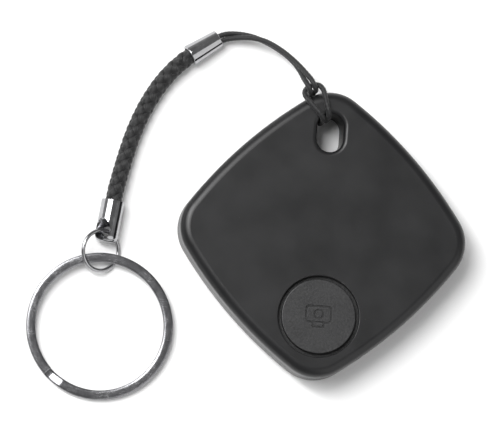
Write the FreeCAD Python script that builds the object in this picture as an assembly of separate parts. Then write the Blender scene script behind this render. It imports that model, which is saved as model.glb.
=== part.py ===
"""Bluetooth tracker tag on a braided strap with a key ring.

Millimetres. The tag lies face up on z = 0 with the origin under its centre.
+Y runs from the button corner to the lanyard-hole corner, +Z out of the face.
"""

import FreeCAD, Part
import math
import os

V = FreeCAD.Vector
UP = V(0, 0, 1)

# --- case ---------------------------------------------------------------
HALF_SIDE = 20.2          # centre to the middle of a side
SIDE_RADIUS = 74.0        # the sides bulge slightly
CORNER_RADIUS = 6.9
THICKNESS = 8.0
EDGE_ROUNDING = 1.6       # front and back edges of the case
WALL = 1.4
FLOOR = 1.1               # back wall thickness
ROOF = 1.1                # front wall thickness
PARTING = 4.0             # height of the joint between the shells
SEAM = 0.12               # visible groove between the shells
CAVITY_END_Y = 12.6       # the hole corner beyond this is solid
LIP_OUTER = 0.75          # tongue of the back shell, measured in from the outline
LIP_HEIGHT = 0.6

# --- lanyard hole ---------------------------------------------------------
HOLE_Y = 17.2
HOLE_WIDTH = 4.5
HOLE_LENGTH = 6.5
HOLE_ROUNDING = 0.7
CHANNEL_WIDTH = 3.0       # relief in the back for the cord
CHANNEL_DEPTH = 1.1

# --- button ----------------------------------------------------------------
BUTTON_Y = -13.9
BUTTON_RADIUS = 6.25
BUTTON_OPENING = 6.85
FLANGE_RADIUS = 7.45
BUTTON_TRAVEL = 0.25
NUB_BOTTOM = 6.3          # underside of the cap's skirt, flange and nub
SWITCH_HEIGHT = 0.3
ICON_DEPTH = 0.2
ICON_LINE = 0.42

# --- electronics -------------------------------------------------------------
BOARD_BOTTOM = 4.9
BOARD_THICKNESS = 0.8
BOARD_INSET = 1.9
BOARD_END_Y = 12.1
CELL_CENTRE_Y = 1.0
CELL_RADIUS = 10.0
CELL_BOTTOM = 1.3
CELL_HEIGHT = 3.2
BUZZER_X = 15.9
BUZZER_RADIUS = 4.5
PEGS = [(-11.5, 5.5), (11.5, 5.5), (-8.8, -9.6)]

# --- strap and rings ---------------------------------------------------------
THIN_DIAMETER = 0.9
STRAND_OFFSET = 0.5       # half the distance between the two strands
STRAP_DIAMETER = 2.8
FERRULE_BORE = 1.42
EYE = V(-35.94, -1.72, 1.95)
EYE_TO_END = 1.85
LOWER_FERRULE_AXIS = V(0.124, 0.9923, 0)
LOWER_FERRULE_LENGTH = 7.1
LOWER_FERRULE_RADIUS = 1.95
FERRULE_END_ROUNDING = 1.0
EYE_TILT = 50.0           # elevation of the eye's own axis, degrees
EYE_RADIUS = 0.8
EYE_WEB = 0.2             # half the thickness left between the two dimples
DIMPLE_RADIUS = 1.95
DIMPLE_DEPTH = 1.75
UPPER_MOUTH = V(-24.07, 29.08, 1.85)
UPPER_TIP = V(-19.33, 32.45, 1.55)
JUMP_RADIUS = 3.4
JUMP_WIRE = 0.35
JUMP_SLOPE_X = -0.486     # fall of the jump ring's plane along x
JUMP_SLOPE_Y = 0.134      # rise along y
JUMP_HEADING = 75.2       # direction from its centre to the eye, degrees
SPLIT_CENTRE = (-36.08, -17.665)
SPLIT_OUTER = 12.35
SPLIT_BAND = 1.55
COIL_THICKNESS = 0.58
COIL_GAP = 0.04
SPLIT_SLOPE = 0.0435      # the ring leans on the jump ring
STEP_START = 228.0        # degrees, where the wire climbs from coil to coil
STEP_END = 241.0

LOOP_END_DEPTH = 2.4      # thin cord inside the upper ferrule
STRAP_END_DEPTH = 3.0     # strap inside each ferrule

# Standing part of the loop, ferrule to hitch: x, y, z of the middle between the
# strands, and the angle of the strands about it (0 side by side, 90 stacked).
STANDING = [
    (-18.92, 32.70, 1.56, 0),
    (-16.50, 33.10, 1.90, 35),
    (-14.00, 33.05, 2.50, 65),
    (-11.50, 32.35, 3.30, 90),
    (-9.10, 31.00, 4.30, 90),
    (-7.10, 29.40, 5.40, 90),
    (-5.75, 27.80, 6.60, 105),
    (-4.80, 26.35, 7.60, 140),
]

# The hitch round the hole corner, one half of it: across, outward from the hole
# wall, up. The other half mirrors the first number.
HITCH_ORIGIN = V(-1.14, 20.13, 0)
HITCH_DIRECTION = 120.0
HITCH = [
    (0.50, 6.35, 8.30),
    (0.50, 5.40, 8.65),
    (0.50, 4.50, 8.15),
    (0.50, 4.36, 7.00),
    (0.54, 4.42, 5.00),
    (0.54, 4.40, 3.10),
    (0.50, 4.24, 1.75),
    (0.50, 3.60, 0.70),
    (0.50, 2.25, 0.54),
    (0.50, 0.75, 0.56),
    (0.50, -0.42, 1.05),
    (0.52, -0.62, 2.30),
    (0.56, -0.68, 4.20),
    (0.54, -0.64, 6.40),
    (0.55, -0.52, 7.82),
    (0.72, 0.38, 8.62),
    (1.12, 1.95, 8.60),
    (1.46, 3.30, 8.50),
    (1.62, 4.20, 8.10),
    (1.38, 5.02, 7.50),
    (0.50, 5.45, 7.30),
]

STRAP_ROUTE_MIDDLE = [
    (-28.30, 24.65, 1.50),
    (-30.90, 20.00, 1.42),
    (-32.75, 15.10, 1.42),
    (-34.00, 10.00, 1.60),
]


# --- helpers -------------------------------------------------------------------
def polar(radius, degrees, centre=V(0, 0, 0)):
    a = math.radians(degrees)
    return centre + V(radius * math.cos(a), radius * math.sin(a), 0)


def arc(p1, p2, p3):
    return Part.Arc(p1, p2, p3).toShape()


def cylinder(radius, height, base, axis=UP):
    return Part.makeCylinder(radius, height, base, axis)


def box(x0, x1, y0, y1, z0, z1):
    return Part.makeBox(x1 - x0, y1 - y0, z1 - z0, V(x0, y0, z0))


def ring(outer, inner, z0, z1, centre=V(0, 0, 0)):
    base = V(centre.x, centre.y, z0)
    return cylinder(outer, z1 - z0, base).cut(cylinder(inner, z1 - z0, base))


def corner_distance():
    """Distance of a corner arc's centre that makes it tangent to both sides."""
    reach = SIDE_RADIUS - HALF_SIDE
    gap = (SIDE_RADIUS - CORNER_RADIUS) ** 2 - reach ** 2
    a = (-reach + math.sqrt(reach ** 2 + 2 * gap)) / 2
    return a * math.sqrt(2)


def case_outline(inset, z):
    """The rounded square standing on a corner, moved in by inset."""
    corner_r = CORNER_RADIUS - inset
    edges = []
    for k in range(4):
        corner = polar(corner_distance(), 90 * k, V(0, 0, z))
        following = polar(corner_distance(), 90 * (k + 1), V(0, 0, z))
        side_before = polar(SIDE_RADIUS - HALF_SIDE, 90 * k + 135, V(0, 0, z))
        side_after = polar(SIDE_RADIUS - HALF_SIDE, 90 * k + 225, V(0, 0, z))
        start = corner + (corner - side_before).normalize() * corner_r
        end = corner + (corner - side_after).normalize() * corner_r
        next_start = following + (following - side_after).normalize() * corner_r
        edges.append(arc(start, polar(corner_r, 90 * k, corner), end))
        middle = polar(HALF_SIDE - inset, 90 * k + 45, V(0, 0, z))
        edges.append(arc(end, middle, next_start))
    return Part.Wire(edges)


def case_block(inset, z0, z1):
    return Part.Face(case_outline(inset, z0)).extrude(V(0, 0, z1 - z0))


def hole_prism(grow, z0, z1):
    """The stadium of the lanyard hole, grown all round."""
    r = HOLE_WIDTH / 2 + grow
    half = (HOLE_LENGTH - HOLE_WIDTH) / 2
    low = V(0, HOLE_Y - half, z0)
    high = V(0, HOLE_Y + half, z0)
    wire = Part.Wire([
        arc(polar(r, 180, low), polar(r, 270, low), polar(r, 0, low)),
        Part.LineSegment(polar(r, 0, low), polar(r, 0, high)).toShape(),
        arc(polar(r, 0, high), polar(r, 90, high), polar(r, 180, high)),
        Part.LineSegment(polar(r, 180, high), polar(r, 180, low)).toShape(),
    ])
    return Part.Face(wire).extrude(V(0, 0, z1 - z0))


def beyond(y, z0, z1):
    """Everything on the hole side of y."""
    return box(-30, 30, y, 40, z0, z1)


def edges_at(shape, z, keep=lambda edge: True):
    found = []
    for edge in shape.Edges:
        flat = abs(edge.BoundBox.ZMin - z) < 1e-4 and abs(edge.BoundBox.ZMax - z) < 1e-4
        if flat and keep(edge):
            found.append(edge)
    return found


def is_outline(edge):
    middle = edge.valueAt((edge.FirstParameter + edge.LastParameter) / 2)
    return abs(middle.x) + abs(middle.y) > HALF_SIDE and not is_hole(edge)


def is_hole(edge):
    middle = edge.valueAt((edge.FirstParameter + edge.LastParameter) / 2)
    return abs(middle.x) < 3.2 and abs(middle.y - HOLE_Y) < 4.2 and middle.y < 21.5


# --- case ------------------------------------------------------------------------
def front_shell():
    low = PARTING + SEAM / 2
    body = case_block(0, low, THICKNESS).cut(hole_prism(0, 0, THICKNESS))
    body = body.makeFillet(EDGE_ROUNDING, edges_at(body, THICKNESS, is_outline))
    body = body.makeFillet(HOLE_ROUNDING, edges_at(body, THICKNESS, is_hole))
    roof_under = THICKNESS - ROOF
    cavity = case_block(WALL, low, roof_under).cut(beyond(CAVITY_END_Y, 0, THICKNESS))
    rebate = case_block(LIP_OUTER - 0.05, low, PARTING + LIP_HEIGHT + 0.1)
    rebate = rebate.cut(beyond(CAVITY_END_Y, 0, THICKNESS))
    opening = cylinder(BUTTON_OPENING, ROOF + 1, V(0, BUTTON_Y, roof_under - 0.5))
    body = body.cut(cavity).cut(rebate).cut(opening)
    rim = [e for e in edges_at(body, THICKNESS) if abs(e.BoundBox.Center.y - BUTTON_Y) < 0.2]
    body = body.makeFillet(0.15, rim)
    for x, y in PEGS:
        peg = cylinder(0.7, roof_under - BOARD_BOTTOM + 0.15, V(x, y, BOARD_BOTTOM - 0.15))
        shoulder = cylinder(1.3, roof_under - BOARD_BOTTOM - BOARD_THICKNESS,
                            V(x, y, BOARD_BOTTOM + BOARD_THICKNESS))
        body = body.fuse(peg).fuse(shoulder)
    return body


def cord_channel():
    """Relief in the back, from the hole out to the edge under the hitch."""
    length = 9.0
    block = Part.makeBox(length, CHANNEL_WIDTH, CHANNEL_DEPTH + 1, V(0, -CHANNEL_WIDTH / 2, -1))
    block = block.makeFillet(0.5, edges_at(block, CHANNEL_DEPTH,
                                           lambda e: e.BoundBox.XLength > length / 2))
    block.rotate(V(0, 0, 0), UP, HITCH_DIRECTION)
    block.translate(HITCH_ORIGIN - polar(2.0, HITCH_DIRECTION))
    return block.fuse(channel_ramp(1.9, 4.6, 2.7)).fuse(channel_ramp(1.6, -0.6, 1.75))


def channel_ramp(inner, outer, height):
    """Slope that opens the channel upwards from inner to outer along the hitch."""
    half = CHANNEL_WIDTH / 2
    corners = [hitch_point(half, inner, CHANNEL_DEPTH), hitch_point(half, outer, height),
               hitch_point(half, outer, -1), hitch_point(half, inner, -1)]
    face = Part.Face(Part.makePolygon(corners + corners[:1]))
    return face.extrude(hitch_point(-half, 0, 0) - hitch_point(half, 0, 0))


def back_shell():
    high = PARTING - SEAM / 2
    body = case_block(0, 0, high).cut(hole_prism(0, 0, THICKNESS))
    body = body.makeFillet(EDGE_ROUNDING, edges_at(body, 0, is_outline))
    body = body.makeFillet(0.5, edges_at(body, 0, is_hole))
    inside = case_block(WALL, FLOOR, high).cut(beyond(CAVITY_END_Y, 0, THICKNESS))
    body = body.cut(inside).cut(cord_channel())
    lip = case_block(LIP_OUTER, high, PARTING + LIP_HEIGHT)
    lip = lip.cut(case_block(WALL, high, PARTING + LIP_HEIGHT))
    lip = lip.cut(beyond(CAVITY_END_Y - 0.2, 0, THICKNESS))
    pad = case_block(0.5, high, PARTING + SEAM / 2).cut(hole_prism(0.4, 0, THICKNESS))
    pad = pad.common(beyond(CAVITY_END_Y + 0.2, 0, THICKNESS))
    cell_wall = ring(CELL_RADIUS + 1.0, CELL_RADIUS + 0.3, FLOOR, CELL_BOTTOM + 1.3,
                     V(0, CELL_CENTRE_Y, 0))
    cell_wall = cell_wall.cut(box(-12, -9, -2, 4, 0, 5))
    sound_port = cylinder(0.8, 3, V(BUZZER_X, 0, -1))
    return body.fuse(lip).fuse(pad).fuse(cell_wall).cut(sound_port)


# --- button ------------------------------------------------------------------------
def rounded_rectangle(width, height, corner, centre, z0, depth):
    block = Part.makeBox(width, height, depth, centre + V(-width / 2, -height / 2, z0))
    upright = [e for e in block.Edges if e.BoundBox.ZLength > depth / 2]
    return block.makeFillet(corner, upright)


def camera_icon():
    """A plain camera outline with its top towards the button corner."""
    z0 = THICKNESS - ICON_DEPTH
    depth = ICON_DEPTH + 0.3
    middle = V(0, BUTTON_Y + 0.35, 0)
    hump = V(0, BUTTON_Y - 1.35, 0)
    outer = rounded_rectangle(4.6, 3.1, 0.6, middle, z0, depth)
    outer = outer.fuse(rounded_rectangle(2.3, 1.3, 0.35, hump, z0, depth))
    line = 2 * ICON_LINE
    inner = rounded_rectangle(4.6 - line, 3.1 - line, 0.3, middle, z0, depth)
    inner = inner.fuse(rounded_rectangle(2.3 - line, 1.3 - line, 0.15, hump, z0, depth))
    lens = ring(0.95, 0.95 - ICON_LINE, z0, z0 + depth, middle)
    return outer.cut(inner).fuse(lens)


def button_cap():
    base = THICKNESS - 0.9
    cap = cylinder(BUTTON_RADIUS, 0.9, V(0, BUTTON_Y, base))
    cap = cap.makeFillet(0.18, edges_at(cap, THICKNESS))
    skirt = ring(BUTTON_RADIUS, BUTTON_RADIUS - 0.7, NUB_BOTTOM, base, V(0, BUTTON_Y, 0))
    flange = ring(FLANGE_RADIUS, BUTTON_RADIUS - 0.7, NUB_BOTTOM, NUB_BOTTOM + 0.5,
                  V(0, BUTTON_Y, 0))
    nub = cylinder(1.0, base - NUB_BOTTOM, V(0, BUTTON_Y, NUB_BOTTOM))
    return cap.fuse(skirt).fuse(flange).fuse(nub).cut(camera_icon())


def switch_body():
    top = BOARD_BOTTOM + BOARD_THICKNESS
    case = rounded_rectangle(4.2, 3.6, 0.3, V(0, BUTTON_Y, 0), top, SWITCH_HEIGHT)
    return case.cut(cylinder(0.75, SWITCH_HEIGHT, V(0, BUTTON_Y, top)))


def switch_stem():
    low = BOARD_BOTTOM + BOARD_THICKNESS + BUTTON_TRAVEL + 0.02
    return cylinder(0.65, NUB_BOTTOM - 0.01 - low, V(0, BUTTON_Y, low))


# --- electronics -----------------------------------------------------------------------
def circuit_board():
    top = BOARD_BOTTOM + BOARD_THICKNESS
    board = case_block(BOARD_INSET, BOARD_BOTTOM, top).cut(beyond(BOARD_END_Y, 0, THICKNESS))
    for x, y in PEGS:
        board = board.cut(cylinder(0.85, 2, V(x, y, BOARD_BOTTOM - 0.5)))
    return board


def on_board(width, depth, height, x, y, turn=0.0):
    part = Part.makeBox(width, depth, height, V(-width / 2, -depth / 2, 0))
    part.rotate(V(0, 0, 0), UP, turn)
    part.translate(V(x, y, BOARD_BOTTOM + BOARD_THICKNESS))
    return part


def capacitors():
    places = [(-7.6, 0.4), (-7.6, 2.2), (-7.6, 4.0), (1.6, -3.2), (3.4, -3.2), (3.6, 6.4)]
    return Part.makeCompound([on_board(1.0, 0.5, 0.5, x, y) for x, y in places])


def resistors():
    places = [(-5.4, -3.2), (-3.6, -3.2), (-1.8, -3.2), (6.2, 4.6)]
    return Part.makeCompound([on_board(1.0, 0.5, 0.35, x, y, 90) for x, y in places])


def buzzer_nodes():
    x = V(BUZZER_X, 0, 0)
    low = 1.75
    case = ring(BUZZER_RADIUS, BUZZER_RADIUS - 0.5, low, BOARD_BOTTOM, x)
    front = ring(BUZZER_RADIUS - 0.5, 0.9, low, low + 0.35, x)
    return {
        "buzzer_case": case.fuse(front),
        "buzzer_diaphragm": cylinder(3.9, 0.1, V(BUZZER_X, 0, 2.45)),
        "buzzer_magnet": ring(3.6, 2.5, 2.9, 4.4, x),
        "buzzer_coil": ring(2.3, 0.95, 3.0, 4.4, x),
        "buzzer_yoke": cylinder(3.9, 0.4, V(BUZZER_X, 0, 4.4)).fuse(
            cylinder(0.9, 1.7, V(BUZZER_X, 0, 2.7))),
    }


def coin_cell_nodes():
    c = V(0, CELL_CENTRE_Y, 0)
    top = CELL_BOTTOM + CELL_HEIGHT
    can = cylinder(CELL_RADIUS, CELL_HEIGHT, V(0, CELL_CENTRE_Y, CELL_BOTTOM))
    can = can.makeFillet(0.35, edges_at(can, CELL_BOTTOM))
    can = can.cut(cylinder(9.3, 0.5, V(0, CELL_CENTRE_Y, top - 0.5)))
    cap = cylinder(8.8, 0.5, V(0, CELL_CENTRE_Y, top - 0.5))
    cap = cap.makeFillet(0.2, edges_at(cap, top))
    return {
        "coin_cell_can": can,
        "coin_cell_gasket": ring(9.3, 8.8, top - 0.5, top - 0.15, c),
        "coin_cell_cap": cap,
    }


def battery_tab_negative():
    top = CELL_BOTTOM + CELL_HEIGHT
    strip = box(-2, 2, CELL_CENTRE_Y - 4, 11.6, top, top + 0.15)
    return strip.fuse(box(-2, 2, 11.45, 11.6, top, BOARD_BOTTOM))


def battery_tab_positive():
    left = -CELL_RADIUS
    upright = box(left - 0.2, left - 0.05, CELL_CENTRE_Y - 2, CELL_CENTRE_Y + 2, 1.7, BOARD_BOTTOM)
    foot = box(left - 1.8, left - 0.2, CELL_CENTRE_Y - 2, CELL_CENTRE_Y + 2,
               BOARD_BOTTOM - 0.15, BOARD_BOTTOM)
    return upright.fuse(foot)


# --- cords --------------------------------------------------------------------------------
def rounded_path(points):
    """Straight runs joined by tangent arcs, each as large as its runs allow."""
    edges = []
    radii = []
    last = points[0]
    for before, here, after in zip(points, points[1:], points[2:]):
        into = here - before
        out = after - here
        turn = into.getAngle(out)
        reach = 0.45 * min(into.Length, out.Length)
        radii.append(reach / math.tan(turn / 2))
        start = here - V(into).normalize() * reach
        end = here + V(out).normalize() * reach
        bisector = (V(out).normalize() - V(into).normalize()).normalize()
        centre = here + bisector * (radii[-1] / math.cos(turn / 2))
        edges.append(Part.LineSegment(last, start).toShape())
        edges.append(arc(start, centre - bisector * radii[-1], end))
        last = end
    edges.append(Part.LineSegment(last, points[-1]).toShape())
    return Part.Wire(edges), radii


def tube(name, points, diameter):
    path, radii = rounded_path(points)
    direction = points[1] - points[0]
    profile = Part.Wire([Part.makeCircle(diameter / 2, points[0], direction)])
    solid = path.makePipeShell([profile], True, False)
    wanted = math.pi * diameter ** 2 / 4 * path.Length
    print(name, "length %.1f mm, smallest radius %.2f mm, volume ratio %.4f"
          % (path.Length, min(radii), solid.Volume / wanted))
    print(name, "radii", " ".join("%.1f" % r for r in radii))
    return solid


def hitch_point(across, outward, up):
    a = math.radians(HITCH_DIRECTION)
    along = V(math.cos(a), math.sin(a), 0)
    sideways = V(math.sin(a), -math.cos(a), 0)
    return HITCH_ORIGIN + sideways * across + along * outward + V(0, 0, up)


def standing_point(i, side):
    """One strand's place at the i-th point of the standing part."""
    here = V(*STANDING[i][:3])
    before = V(*STANDING[max(i - 1, 0)][:3])
    after = V(*STANDING[min(i + 1, len(STANDING) - 1)][:3])
    forward = (after - before).normalize()
    across = UP.cross(forward).normalize() * -1
    upward = across.cross(forward).normalize()
    if upward.z < 0:
        upward = upward * -1
    a = math.radians(STANDING[i][3])
    return here + (across * math.cos(a) + upward * math.sin(a)) * (side * STRAND_OFFSET)


def loop_half(side):
    """Ferrule to the middle of the bight, along one strand."""
    forward = (UPPER_TIP - UPPER_MOUTH).normalize()
    first = standing_point(0, side)
    start = UPPER_TIP - forward * LOOP_END_DEPTH
    across = UP.cross(forward).normalize() * -1
    points = [start + across * (side * STRAND_OFFSET), first]
    points += [standing_point(i, side) for i in range(1, len(STANDING))]
    points += [hitch_point(side * a, o, u) for a, o, u in HITCH]
    return points


def thin_cord():
    return tube("thin_cord", loop_half(1) + loop_half(-1)[::-1], THIN_DIAMETER)


def braided_strap():
    forward = (UPPER_MOUTH - UPPER_TIP).normalize()
    axis = V(LOWER_FERRULE_AXIS).normalize()
    lower_top = EYE + axis * (LOWER_FERRULE_LENGTH - EYE_TO_END)
    points = [UPPER_MOUTH - forward * STRAP_END_DEPTH, UPPER_MOUTH + forward * 1.1]
    points += [V(*p) for p in STRAP_ROUTE_MIDDLE]
    points += [lower_top + axis * 1.4, lower_top - axis * STRAP_END_DEPTH]
    return tube("braided_strap", points, STRAP_DIAMETER)


def upper_ferrule():
    forward = UPPER_TIP - UPPER_MOUTH
    length = forward.Length
    sleeve = Part.makeCone(1.825, 1.5, length, UPPER_MOUTH, forward)
    sleeve = sleeve.makeFillet(0.16, [e for e in sleeve.Edges if e.Curve.TypeId == "Part::GeomCircle"])
    strap_bore = cylinder(FERRULE_BORE, STRAP_END_DEPTH, UPPER_MOUTH, forward)
    unit = V(forward).normalize()
    cord_bore = cylinder(1.06, LOOP_END_DEPTH, UPPER_TIP - unit * LOOP_END_DEPTH, forward)
    return sleeve.cut(strap_bore).cut(cord_bore)


def lower_ferrule():
    axis = V(LOWER_FERRULE_AXIS).normalize()
    end = EYE - axis * EYE_TO_END
    body = cylinder(LOWER_FERRULE_RADIUS, LOWER_FERRULE_LENGTH, end, axis)
    rims = [e for e in body.Edges if e.Curve.TypeId == "Part::GeomCircle"]
    rims.sort(key=lambda e: (e.BoundBox.Center - end).Length)
    body = body.makeFillet(FERRULE_END_ROUNDING, rims[:1])
    mouth = end + axis * LOWER_FERRULE_LENGTH
    body = body.cut(cylinder(FERRULE_BORE, STRAP_END_DEPTH, mouth, axis * -1))
    across = UP.cross(axis).normalize()
    tilt = math.radians(EYE_TILT)
    through = across * math.cos(tilt) + UP * math.sin(tilt)
    body = body.cut(cylinder(EYE_RADIUS, 4, EYE - through * 2, through))
    for way in (1, -1):
        dimple = Part.makeCone(EYE_RADIUS, DIMPLE_RADIUS, DIMPLE_DEPTH,
                               EYE + through * (EYE_WEB * way), through * way)
        body = body.cut(dimple)
    return body


# --- rings ------------------------------------------------------------------------------------
def jump_frame():
    """Centre, normal and the direction to the eye of the jump ring."""
    normal = V(-JUMP_SLOPE_X, -JUMP_SLOPE_Y, 1).normalize()
    a = math.radians(JUMP_HEADING)
    rise = JUMP_SLOPE_X * math.cos(a) + JUMP_SLOPE_Y * math.sin(a)
    to_eye = V(math.cos(a), math.sin(a), rise).normalize()
    return EYE - to_eye * JUMP_RADIUS, normal, to_eye


def jump_ring():
    """Round wire bent into a ring, its butt joint under the key ring."""
    centre, normal, to_eye = jump_frame()
    start = V(to_eye)
    joint = FreeCAD.Rotation(normal, -118)
    start = joint.multVec(start)
    tangent = normal.cross(start)
    section = Part.Face(Part.Wire([Part.makeCircle(JUMP_WIRE, centre + start * JUMP_RADIUS, tangent)]))
    return section.revolve(centre, normal, 358.8)


def split_section(degrees, z):
    """Chamfered rectangle of the flat wire, standing on a radius."""
    c = 0.14
    inner = SPLIT_OUTER - SPLIT_BAND
    outline = [(inner + c, 0), (SPLIT_OUTER - c, 0), (SPLIT_OUTER, c),
               (SPLIT_OUTER, COIL_THICKNESS - c), (SPLIT_OUTER - c, COIL_THICKNESS),
               (inner + c, COIL_THICKNESS), (inner, COIL_THICKNESS - c), (inner, c)]
    corners = [polar(r, degrees, V(0, 0, z + h)) for r, h in outline]
    return Part.makePolygon(corners + corners[:1])


def split_ring():
    """Flat wire coiled twice, climbing from the lower to the upper coil at the step."""
    pitch = COIL_THICKNESS + COIL_GAP
    lower = Part.Face(split_section(STEP_END + 2, 0))
    lower = lower.revolve(V(0, 0, 0), UP, 360 - (STEP_END + 2 - STEP_START))
    upper = Part.Face(split_section(STEP_END, pitch)).revolve(V(0, 0, 0), UP, 344)
    steps = 10
    sections = []
    for i in range(steps + 1):
        t = i / steps
        height = pitch * (3 * t ** 2 - 2 * t ** 3)
        sections.append(split_section(STEP_START + (STEP_END - STEP_START) * t, height))
    climb = Part.makeLoft(sections, True, True)
    coil = lower.fuse(climb).fuse(upper)
    coil.rotate(V(0, 0, 0), V(1, 0, 0), math.degrees(math.atan(SPLIT_SLOPE)))
    lift = 0.02 + SPLIT_SLOPE * SPLIT_OUTER
    coil.translate(V(SPLIT_CENTRE[0], SPLIT_CENTRE[1], lift))
    return coil


def node_shapes():
    nodes = {
        "front_shell": front_shell(),
        "back_shell": back_shell(),
        "button_cap": button_cap(),
        "switch_body": switch_body(),
        "switch_stem": switch_stem(),
        "circuit_board": circuit_board(),
        "bluetooth_chip": on_board(6.0, 6.0, 0.85, -3.0, 2.2),
        "crystal": on_board(3.2, 2.5, 0.7, 3.4, 2.0),
        "chip_antenna": on_board(7.0, 2.0, 0.95, -15.2, -1.0, 90),
        "capacitors": capacitors(),
        "resistors": resistors(),
        "inductor": on_board(2.0, 2.0, 1.0, 7.4, 0.8),
        "battery_tab_negative": battery_tab_negative(),
        "battery_tab_positive": battery_tab_positive(),
        "insulator_disc": cylinder(9.6, 0.08, V(0, CELL_CENTRE_Y, 4.72)),
        "foam_pad": cylinder(8.0, CELL_BOTTOM - FLOOR, V(0, CELL_CENTRE_Y, FLOOR)),
        "thin_cord": thin_cord(),
        "upper_ferrule": upper_ferrule(),
        "braided_strap": braided_strap(),
        "lower_ferrule": lower_ferrule(),
        "jump_ring": jump_ring(),
        "split_ring": split_ring(),
    }
    nodes.update(buzzer_nodes())
    nodes.update(coin_cell_nodes())
    return nodes


os.makedirs("parts", exist_ok=True)
for node, shape in node_shapes().items():
    solids = shape.Solids
    if node in ("capacitors", "resistors"):
        shape.exportStep("parts/%s.step" % node)
    else:
        solids[0].exportStep("parts/%s.step" % node)
    print(node, "solids", len(solids), "valid", shape.isValid(), "volume %.2f" % shape.Volume)
centre, normal, to_eye = jump_frame()
print("jump ring tangent at the eye", normal.cross(to_eye))
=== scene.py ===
"""A bluetooth tracker tag on a braided strap with a key ring: its looks, in metres."""

# %% [markdown]
# # A tracker tag, its strap and its rings
#
# The tag lies on its back on a table. Its shells, button, ferrules and inner parts come
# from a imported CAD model, which stays as it is and only gets finishes here. The cords and
# the two wire rings are made again as smooth surfaces, because a plain CAD tube has no
# plait and a packed ring is a little too faceted for polished steel.
#
# Everything is in metres and in the CAD model's own frame: the tag's centre is above the
# origin, +Y points to its lanyard hole, and +Z out of its face.

# %% Load the CAD frame
import math
import bpy
import numpy as np
from mathutils import Matrix, Vector


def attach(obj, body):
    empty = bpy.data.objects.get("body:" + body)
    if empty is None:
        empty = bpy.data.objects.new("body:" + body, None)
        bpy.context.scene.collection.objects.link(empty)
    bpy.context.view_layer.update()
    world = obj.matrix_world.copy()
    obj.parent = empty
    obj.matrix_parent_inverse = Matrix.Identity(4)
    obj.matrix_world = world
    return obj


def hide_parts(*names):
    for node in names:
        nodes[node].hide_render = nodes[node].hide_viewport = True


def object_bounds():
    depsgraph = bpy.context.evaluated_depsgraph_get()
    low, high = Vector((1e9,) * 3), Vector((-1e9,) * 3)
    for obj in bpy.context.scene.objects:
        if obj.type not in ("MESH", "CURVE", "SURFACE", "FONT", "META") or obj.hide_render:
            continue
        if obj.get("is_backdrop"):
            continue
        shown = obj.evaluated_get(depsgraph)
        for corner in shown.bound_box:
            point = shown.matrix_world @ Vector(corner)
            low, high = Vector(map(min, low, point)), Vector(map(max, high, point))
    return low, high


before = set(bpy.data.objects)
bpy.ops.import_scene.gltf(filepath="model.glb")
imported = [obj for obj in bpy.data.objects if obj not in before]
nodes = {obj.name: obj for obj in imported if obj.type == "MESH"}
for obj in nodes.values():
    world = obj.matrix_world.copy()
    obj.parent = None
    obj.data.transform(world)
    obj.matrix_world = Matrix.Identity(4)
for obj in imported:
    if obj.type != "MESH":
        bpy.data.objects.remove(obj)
cad_low, cad_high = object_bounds()
MM = 0.001

# %% [markdown]
# ## The camera
#
# A small product is taken from far away with a long lens, so that its sides stay nearly
# parallel. The camera stands over the object, leans a little toward the key ring's side,
# and is turned by a few degrees, so the tag's diamond stands slightly askew.
#
# A camera looks along its own -Z axis with +Y up in its picture. So the rotation is a
# matrix whose columns are the picture's right, the picture's up, and the way back to the
# camera.

# %% Place the camera
PICTURE_TURN = math.radians(4.45)
LENS = 600.0
SENSOR_WIDTH = 36.0
VIEW_WIDTH = 84.3 * MM
looked_at = Vector((-11.85, 2.72, 0.0)) * MM
back_to_camera = Vector((-0.0977, -0.1132, 1.0)).normalized()
across_picture = Vector((math.cos(PICTURE_TURN), math.sin(PICTURE_TURN), 0.0))
picture_up = back_to_camera.cross(across_picture).normalized()
picture_right = picture_up.cross(back_to_camera).normalized()

camera_data = bpy.data.cameras.new("camera")
camera_data.lens = LENS
camera_data.sensor_width = SENSOR_WIDTH
camera_data.clip_start = 0.01
camera_data.clip_end = 20.0
camera = bpy.data.objects.new("camera", camera_data)
bpy.context.scene.collection.objects.link(camera)
distance = VIEW_WIDTH * LENS / SENSOR_WIDTH
turned = Matrix((picture_right, picture_up, back_to_camera)).transposed().to_4x4()
camera.matrix_world = Matrix.Translation(looked_at + back_to_camera * distance) @ turned
bpy.context.scene.camera = camera
print("camera stands %.2f m away" % distance)

# %% [markdown]
# ## One line for each cord
#
# A cord is a fixed length of something flexible, so it is drawn as one smooth line first.
# A NURBS spline of order 3 with its ends clamped passes through the middle of every run
# between its control points and bends evenly between them, which is how a soft cord lies.
# The order is set after the points are added: set before, it would stay at straight runs.
#
# Blender works the line out when a curve with no bevel is turned into a mesh. Everything
# else about a cord follows that line.

# %% Read a smooth line through control points
def smooth_line(name, controls, steps):
    """The points of the clamped quadratic NURBS with these control points, in order."""
    curve = bpy.data.curves.new(name, "CURVE")
    curve.dimensions = "3D"
    curve.resolution_u = steps
    spline = curve.splines.new("NURBS")
    spline.points.add(len(controls) - 1)
    weighted = np.column_stack([controls, np.ones(len(controls))])
    spline.points.foreach_set("co", weighted.ravel())
    spline.order_u = 3
    spline.use_endpoint_u = True
    holder = bpy.data.objects.new(name, curve)
    drawn = bpy.data.meshes.new_from_object(holder)
    points = np.zeros(len(drawn.vertices) * 3)
    drawn.vertices.foreach_get("co", points)
    bpy.data.objects.remove(holder)
    bpy.data.meshes.remove(drawn)
    bpy.data.curves.remove(curve)
    return points.reshape(-1, 3)


def length_along(points):
    """Distance from the first point to each point, measured along the line."""
    steps = np.linalg.norm(np.diff(points, axis=0), axis=1)
    return np.concatenate([[0.0], np.cumsum(steps)])


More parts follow.
